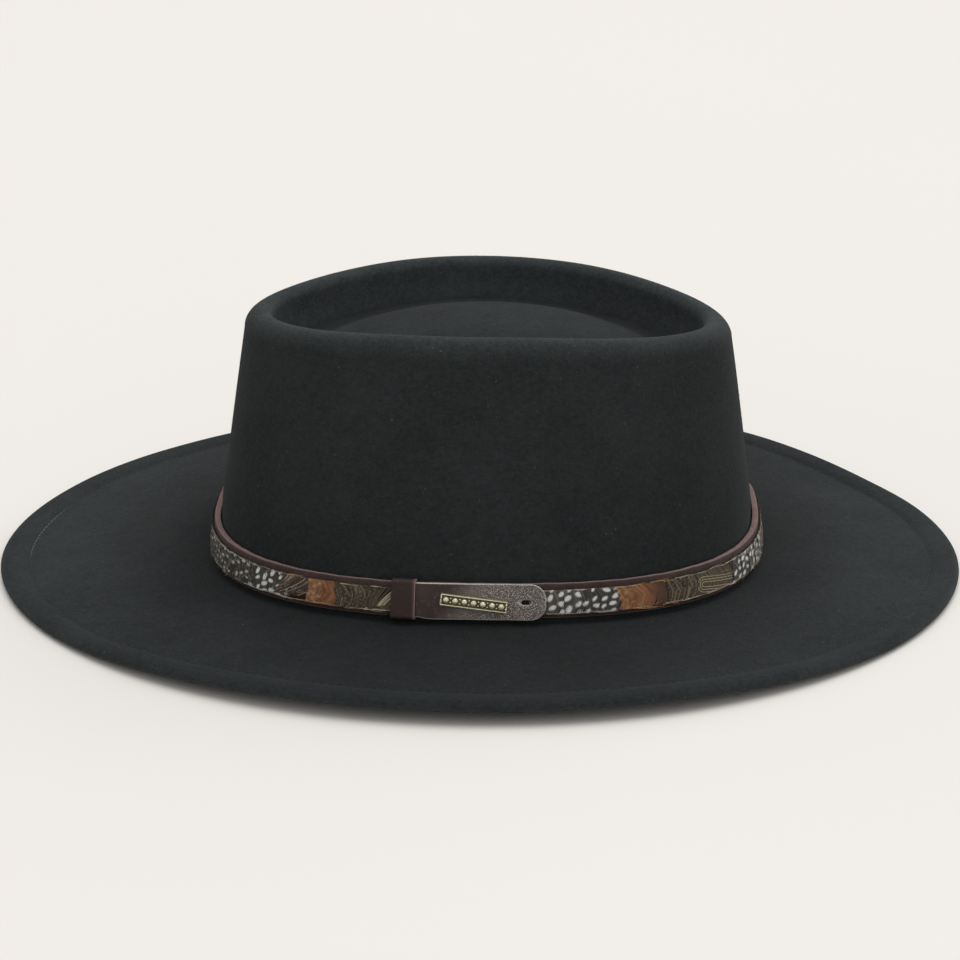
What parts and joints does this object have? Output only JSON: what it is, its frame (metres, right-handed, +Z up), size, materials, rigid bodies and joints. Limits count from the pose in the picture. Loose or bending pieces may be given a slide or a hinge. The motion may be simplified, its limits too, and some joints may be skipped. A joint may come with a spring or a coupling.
{
  "type": "outdoor hat",
  "caption": "Wide-brimmed felt hat with a telescope crown, a stitched welt edge and a leather band set with feathers, closed by a keeper, tongue and metal bar.",
  "frame": {"origin": "on the surface the brim rests on, under the middle of the hat's outline", "axes": "+Z up, -X to the front of the hat, -Y to the wearer's left, where the band closes"},
  "size_m": [0.3702, 0.3296, 0.1052],
  "materials": {
    "felt": "black wool felt, matt and slightly fuzzy",
    "leather": "dark brown leather with a lighter raw edge",
    "feathers": "overlapping feathers, spotted grey, orange brown and olive",
    "brass": "aged brass, satin"
  },
  "bodies": {
    "root": {"felt_body": "felt", "band_strap": "leather", "feather_strip": "feathers", "band_keeper": "leather", "band_tongue": "leather", "band_bar": "brass"}
  },
  "joints": []
}
